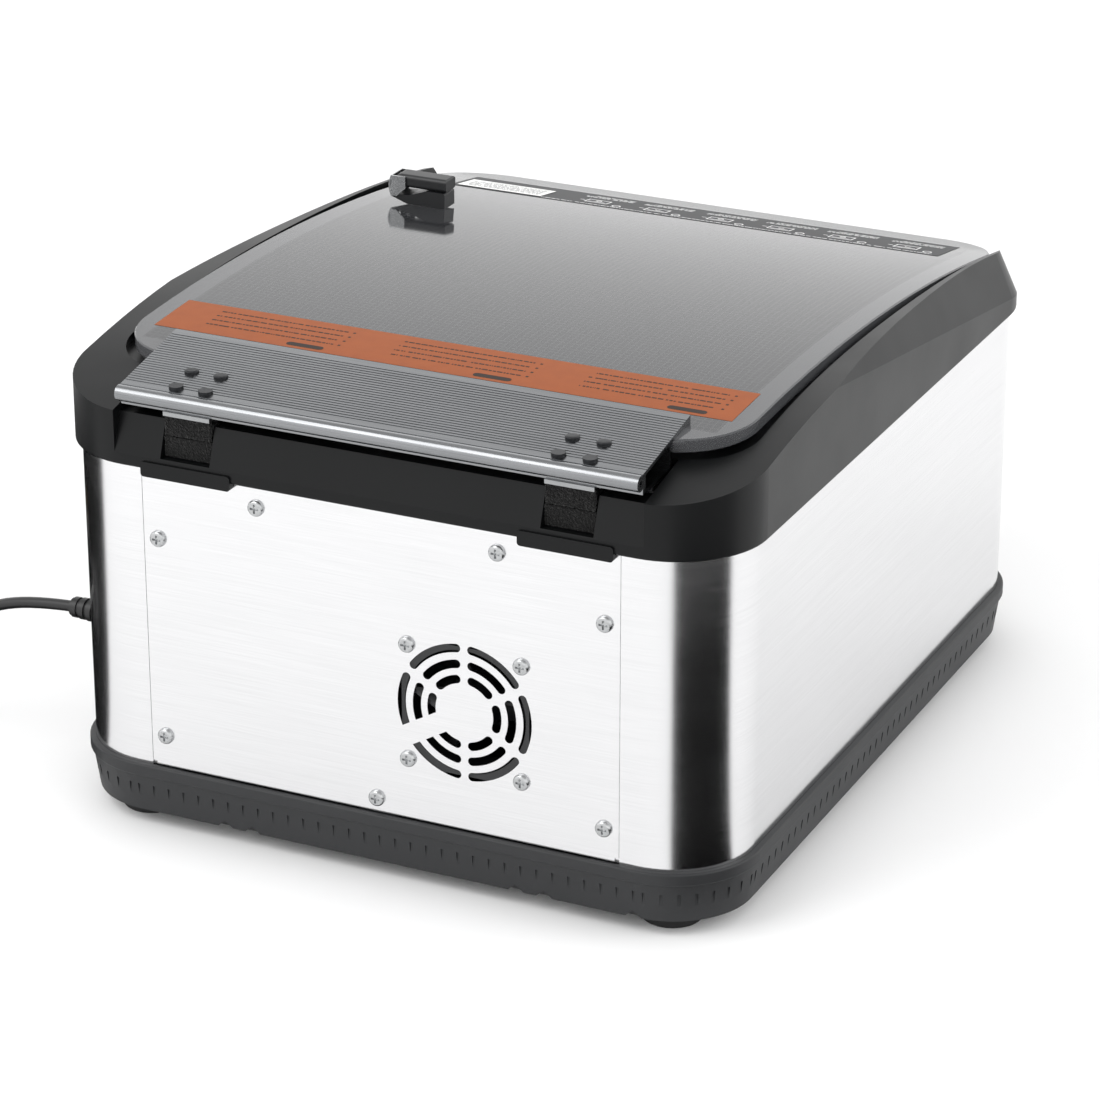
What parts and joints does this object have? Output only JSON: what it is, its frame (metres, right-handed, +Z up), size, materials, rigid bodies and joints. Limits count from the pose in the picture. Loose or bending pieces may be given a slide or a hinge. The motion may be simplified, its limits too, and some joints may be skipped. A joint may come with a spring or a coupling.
{
  "type": "chamber vacuum sealer",
  "caption": "Tabletop chamber vacuum sealer: stainless wrap on a moulded base, black bezel, arched smoked lid on a ribbed rear hinge bar, rear fan grille, control panel, mains lead.",
  "frame": {"origin": "centre of the footprint, on the surface the feet stand on", "axes": "+Z up, -Y towards the control panel, +X to the right of someone facing it"},
  "size_m": [0.7382, 0.5146, 0.2997],
  "materials": {
    "tray_plastic": "moulded black polypropylene, fine texture",
    "bezel_plastic": "moulded black ABS, satin",
    "black_plastic": "moulded black plastic",
    "foot_rubber": "black rubber",
    "stainless": "brushed stainless sheet",
    "screw_steel": "plated steel",
    "dark_screw": "dark plated steel",
    "extrusion_aluminium": "brushed anodised extrusion",
    "bar_aluminium": "machined aluminium",
    "hinge_steel": "black painted steel",
    "pin_steel": "ground steel",
    "felt": "black felt",
    "smoked_sheet": "smoked acrylic sheet",
    "clear_plastic": "clear plastic",
    "display_plastic": "dark display window",
    "gasket_silicone": "dark silicone",
    "strip_silicone": "red-brown silicone",
    "white_plate": "white polyethylene board",
    "ribbon_metal": "nickel-chrome ribbon",
    "glass_tape": "woven glass tape coated with PTFE",
    "fascia_plastic": "black polycarbonate fascia",
    "button_rubber": "grey silicone button",
    "dial_paper": "printed dial",
    "circuit_board": "green circuit board",
    "pump_casting": "cast aluminium",
    "transformer_iron": "varnished laminations",
    "winding_copper": "enamelled copper winding",
    "hose_rubber": "rubber hose",
    "lead_pvc": "black PVC",
    "plug_plastic": "black moulded plug",
    "plug_brass": "brass pins"
  },
  "bodies": {
    "housing": {"base_tray": "tray_plastic", "top_bezel": "bezel_plastic", "fan_housing": "black_plastic", "rocker_frame": "black_plastic", "solenoid_valve": "black_plastic", "feet": "foot_rubber", "pump_mounts": "foot_rubber", "body_wrap": "stainless", "rear_panel": "stainless", "chamber_tub": "stainless", "rear_screws": "screw_steel", "foot_screws": "screw_steel", "hinge_leaves": "hinge_steel", "pump_plate": "hinge_steel", "hinge_pins": "pin_steel", "lift_cylinders": "pin_steel", "felt_pads": "felt", "gauge_glass": "clear_plastic", "display_window": "display_plastic", "chamber_gasket": "gasket_silicone", "filler_plate": "white_plate", "control_fascia": "fascia_plastic", "gauge_case": "fascia_plastic", "gauge_dial": "dial_paper", "control_board": "circuit_board", "power_board": "circuit_board", "pump_crankcase": "pump_casting", "pump_head": "pump_casting", "pump_motor": "pump_casting", "transformer_core": "transformer_iron", "transformer_winding": "winding_copper", "vacuum_hose": "hose_rubber", "strain_relief": "lead_pvc", "mains_lead": "lead_pvc", "lead_coil": "lead_pvc", "plug_lead": "lead_pvc", "plug_body": "plug_plastic", "plug_pins": "plug_brass"},
    "lid": {"lid_panel": "smoked_sheet", "hinge_extrusion": "extrusion_aluminium", "extrusion_screws": "dark_screw", "hinge_arms": "hinge_steel", "backing_bar": "extrusion_aluminium", "silicone_strip": "strip_silicone", "catch_foot": "black_plastic", "catch_strap": "screw_steel"},
    "catch_lever": {"catch_lever": "black_plastic"},
    "fan_rotor": {"fan_rotor": "black_plastic"},
    "motor_fan": {"motor_fan": "black_plastic"},
    "seal_bar": {"seal_bar": "bar_aluminium", "seal_ribbon": "ribbon_metal", "seal_tape": "glass_tape"},
    "power_rocker": {"power_rocker": "black_plastic"},
    "gauge_needle": {"gauge_needle": "black_plastic"},
    "vacuum_button": {"vacuum_button": "button_rubber"},
    "gas_button": {"gas_button": "button_rubber"},
    "seal_button": {"seal_button": "button_rubber"},
    "cool_button": {"cool_button": "button_rubber"},
    "stop_button": {"stop_button": "button_rubber"},
    "set_button": {"set_button": "button_rubber"}
  },
  "joints": [
    {"name": "lid_hinge", "type": "hinge", "parent": "housing", "child": "lid", "pos_m": [0, 0.243, 0.2585], "axis": [-1, 0, 0], "range_deg": [0, 50]},
    {"name": "catch_pivot", "type": "hinge", "parent": "lid", "child": "catch_lever", "pos_m": [0.1655, -0.112, 0.29544], "axis": [0, 1, 0], "range_deg": [0, 75]},
    {"name": "fan_spin", "type": "hinge", "parent": "housing", "child": "fan_rotor", "pos_m": [-0.0544, 0.24, 0.1165], "axis": [0, 1, 0], "continuous": true},
    {"name": "motor_spin", "type": "hinge", "parent": "housing", "child": "motor_fan", "pos_m": [-0.08, 0.02, 0.08], "axis": [1, 0, 0], "continuous": true},
    {"name": "seal_bar_lift", "type": "slide", "parent": "housing", "child": "seal_bar", "axis": [0, 0, 1], "range_m": [0, 0.0078]},
    {"name": "power_rocker_tilt", "type": "hinge", "parent": "housing", "child": "power_rocker", "pos_m": [0.124, -0.251, 0.164], "axis": [1, 0, 0], "range_deg": [-16, 0]},
    {"name": "gauge_needle_turn", "type": "hinge", "parent": "housing", "child": "gauge_needle", "pos_m": [-0.118, -0.2526, 0.164], "axis": [0, 1, 0], "range_deg": [0, 270]},
    {"name": "vacuum_button_press", "type": "slide", "parent": "housing", "child": "vacuum_button", "axis": [0, 1, 0], "range_m": [0, 0.0012], "stiffness_N_per_m": 400},
    {"name": "gas_button_press", "type": "slide", "parent": "housing", "child": "gas_button", "axis": [0, 1, 0], "range_m": [0, 0.0012], "stiffness_N_per_m": 400},
    {"name": "seal_button_press", "type": "slide", "parent": "housing", "child": "seal_button", "axis": [0, 1, 0], "range_m": [0, 0.0012], "stiffness_N_per_m": 400},
    {"name": "cool_button_press", "type": "slide", "parent": "housing", "child": "cool_button", "axis": [0, 1, 0], "range_m": [0, 0.0012], "stiffness_N_per_m": 400},
    {"name": "stop_button_press", "type": "slide", "parent": "housing", "child": "stop_button", "axis": [0, 1, 0], "range_m": [0, 0.0012], "stiffness_N_per_m": 400},
    {"name": "set_button_press", "type": "slide", "parent": "housing", "child": "set_button", "axis": [0, 1, 0], "range_m": [0, 0.0012], "stiffness_N_per_m": 400}
  ]
}
